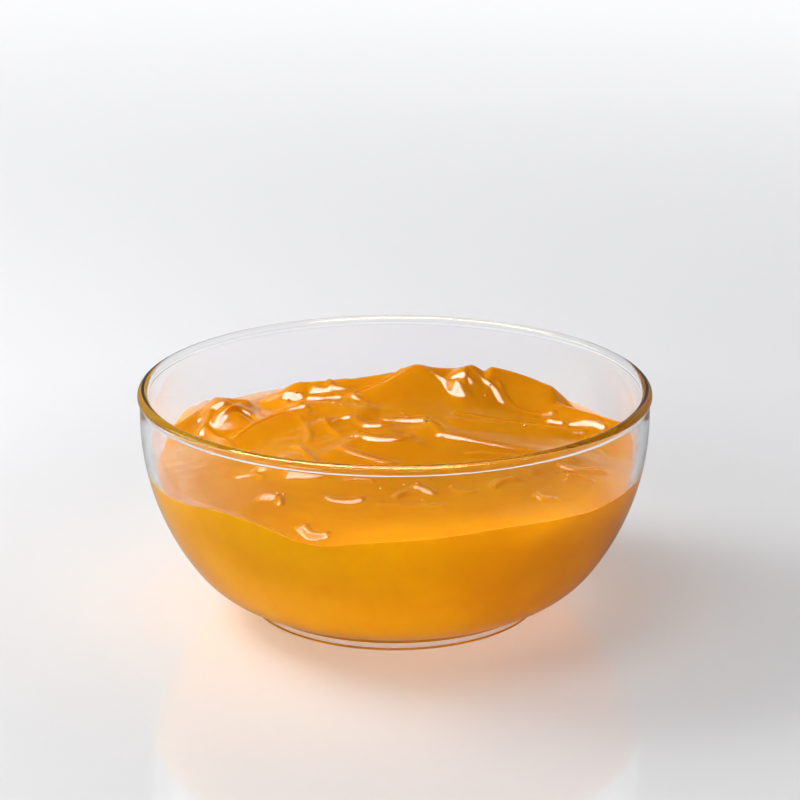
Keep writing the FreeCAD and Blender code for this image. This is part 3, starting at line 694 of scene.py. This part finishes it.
def wetted_gel_material():
    """The gel where it wets the glass, which has no gloss of its own there. Its colour has painted
    light, brighter towards the foot, and painted shade, more red and darker towards the right.
    """
    material, graph, out = new_material("gel_on_glass")
    gel, tone, place = cloudy_gel(graph, *WETTED_GEL, WETTED_GEL_IOR, 0.0)
    axes = graph.axes(place)
    # Painted light: the colour is scaled up towards the foot, where the lamps light the gel too
    # little.
    low = graph.ranged(axes["Z"], FILL_LEVEL * MM, 0.0)
    painted_light = graph.add("VectorMath")
    painted_light.operation = "SCALE"
    graph.join(tone, painted_light.inputs[0])
    graph.join(graph.maths("MULTIPLY_ADD", low, PAINTED_LIGHT_BELOW, 1.0), painted_light.inputs["Scale"])
    # Painted shade: green and blue are multiplied down towards the right, away from the lamp at the
    # left.
    painted_shade = graph.add("Mix")
    painted_shade.data_type = "RGBA"
    painted_shade.blend_type = "MULTIPLY"
    # A Mix node's sockets 6 and 7 are its two colours, and its output 2 is the mixed colour.
    right = graph.ranged(axes["X"], -FOOT_RADIUS * MM, RIM_RADIUS * MM)
    graph.join(right, painted_shade.inputs[0])
    graph.join(painted_light.outputs[0], painted_shade.inputs[6])
    painted_shade.inputs[7].default_value = PAINTED_SHADE_RIGHT
    graph.join(painted_shade.outputs[2], gel.inputs["Base Color"])
    graph.join(graph.lets_lamps_through(gel, GEL_SHADOW), out.inputs["Surface"])
    return material


def floor_material():
    """Pale glossy floor. The camera and the glass see it lifted towards white, and mirrors on
    the object see it plain and darker."""
    material, graph, out = new_material("pale_floor")
    place = graph.add("NewGeometry")
    away = graph.add("VectorMath")
    away.operation = "LENGTH"
    graph.join(place.outputs["Position"], away.inputs[0])
    distance = away.outputs["Value"]
    reach = graph.add("MapRange", {"From Min": 0.0, "From Max": TONE_REACH})
    graph.join(distance, reach.inputs["Value"])
    tones = graph.add("ValToRGB")
    while len(tones.color_ramp.elements) < len(FLOOR_TONES):
        tones.color_ramp.elements.new(0.5)
    for element, (position, colour) in zip(tones.color_ramp.elements, FLOOR_TONES):
        element.position = position
        element.color = colour
    graph.join(reach.outputs["Result"], tones.inputs["Fac"])
    top = graph.add("BsdfPrincipled", {"Roughness": FLOOR_ROUGHNESS, "IOR": FLOOR_IOR})
    graph.join(tones.outputs["Color"], top.inputs["Base Color"])
    matt = graph.add("BsdfDiffuse", {"Color": FLOOR_IN_MIRRORS})
    path = graph.add("LightPath").outputs
    mirrored = graph.maths("SUBTRACT", path["Is Glossy Ray"], path["Is Transmission Ray"])
    mirrored = graph.maths("MAXIMUM", mirrored, 0.0)
    surface = graph.mixed(mirrored, top.outputs[0], matt.outputs[0])
    lift = LIFT_ALL
    for low, high, amount in (LIFT_NEAR, LIFT_FAR):
        lift = graph.maths("MULTIPLY_ADD", graph.ranged(distance, low, high), amount, lift)
    seen = graph.maths("MAXIMUM", path["Is Camera Ray"], path["Is Transmission Ray"])
    glow = graph.add("Emission")
    graph.join(graph.maths("MULTIPLY", seen, lift), glow.inputs["Strength"])
    both = graph.add("AddShader")
    graph.join(surface, both.inputs[0])
    graph.join(glow.outputs[0], both.inputs[1])
    graph.join(both.outputs[0], out.inputs["Surface"])
    return material


def make_floor():
    bpy.ops.mesh.primitive_circle_add(vertices=96, radius=FLOOR_RADIUS, fill_type="NGON",
                                      location=(0, 0, FLOOR_LEVEL))
    floor = bpy.context.object
    floor.name = "floor"
    floor.data.materials.append(floor_material())


def make_world():
    """A pale studio: even for diffuse light, pale round the camera's view and through glass, and
    in reflections dark but for a wall behind and one at the left."""
    world = bpy.data.worlds.new("studio")
    bpy.context.scene.world = world
    world.use_nodes = True
    graph = Graph(world.node_tree)
    background = graph.nodes["Background"]
    background.inputs["Color"].default_value = STUDIO_COLOUR
    way = graph.axes(graph.add("TexCoord").outputs["Generated"])
    low = graph.ranged(way["Z"], *WALLS_BELOW)
    behind = graph.maths("MULTIPLY", low, graph.ranged(way["Y"], *WALL_BEHIND))
    left = graph.maths("MULTIPLY", low, graph.ranged(way["X"], *WALL_AT_LEFT))
    walls = graph.maths("MAXIMUM", graph.maths("MULTIPLY", behind, REFLECTED_BACK),
                        graph.maths("MULTIPLY", left, REFLECTED_LEFT))
    mirrored = graph.maths("ADD", walls, REFLECTED_REST)
    below = graph.ranged(way["Z"], *BACKDROP_BELOW)
    through = graph.maths("MULTIPLY_ADD", below, BACKDROP - CEILING, CEILING)
    path = graph.add("LightPath").outputs
    level = graph.maths("MULTIPLY", path["Is Camera Ray"], BACKDROP)
    for ray, strength in (("Is Diffuse Ray", WORLD_EVEN), ("Is Glossy Ray", mirrored),
                          ("Is Transmission Ray", through)):
        level = graph.maths("MAXIMUM", level, graph.maths("MULTIPLY", path[ray], strength))
    graph.join(level, background.inputs["Strength"])


def point_at(thing, aim):
    way = Vector(aim) - Vector(thing.location)
    thing.rotation_euler = way.to_track_quat("-Z", "Y").to_euler()


def hold(name, data, place, aim):
    """Put a lamp or a camera in the scene and point it."""
    holder = bpy.data.objects.new(name, data)
    bpy.context.collection.objects.link(holder)
    holder.location = place
    point_at(holder, aim)
    return holder


def make_camera():
    data = bpy.data.cameras.new("camera")
    data.sensor_width = CAMERA_SENSOR
    data.lens = CAMERA_LENS
    bpy.context.scene.camera = hold("camera", data, CAMERA_PLACE, CAMERA_AIM)


def area_lamp(name, place, aim, size, power):
    lamp = bpy.data.lights.new(name, "AREA")
    lamp.shape = "RECTANGLE"
    lamp.size, lamp.size_y = size
    lamp.energy = power
    return hold(name, lamp, place, aim)


def sun_lamp(name, way, spread, power):
    lamp = bpy.data.lights.new(name, "SUN")
    lamp.energy = power
    lamp.angle = math.radians(spread)
    return hold(name, lamp, way, (0, 0, 0))


def make_lamps():
    """Soft lamps for the surfaces, and two that only make highlights. Light that comes through
    the glass is in their shadows already, so no lamp is seen through it as well."""
    lighting = [sun_lamp("top", *SUN)] + [area_lamp(*lamp) for lamp in LIGHTING_LAMPS]
    for lamp in lighting:
        lamp.visible_glossy = False
        lamp.visible_transmission = False
    for lamp in [area_lamp(*lamp) for lamp in HIGHLIGHT_LAMPS]:
        lamp.visible_diffuse = False
        lamp.visible_transmission = False


make_camera()
make_world()
make_floor()
make_lamps()

glass = make_glass()
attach(glass, "root")
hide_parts("bowl")

open_gel = open_gel_material()
filling = make_filling()
filling.data.materials.append(open_gel)
filling.data.materials.append(wetted_gel_material())
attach(filling, "root")
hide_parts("filling")

bubbles = make_bubbles()
bubbles.data.materials.append(open_gel)
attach(bubbles, "root")

scene = bpy.context.scene
scene.view_settings.view_transform = "Standard"
# Light crosses many faces of glass before it leaves the bowl.
scene.cycles.max_bounces = 32
scene.cycles.glossy_bounces = 20
scene.cycles.transmission_bounces = 32
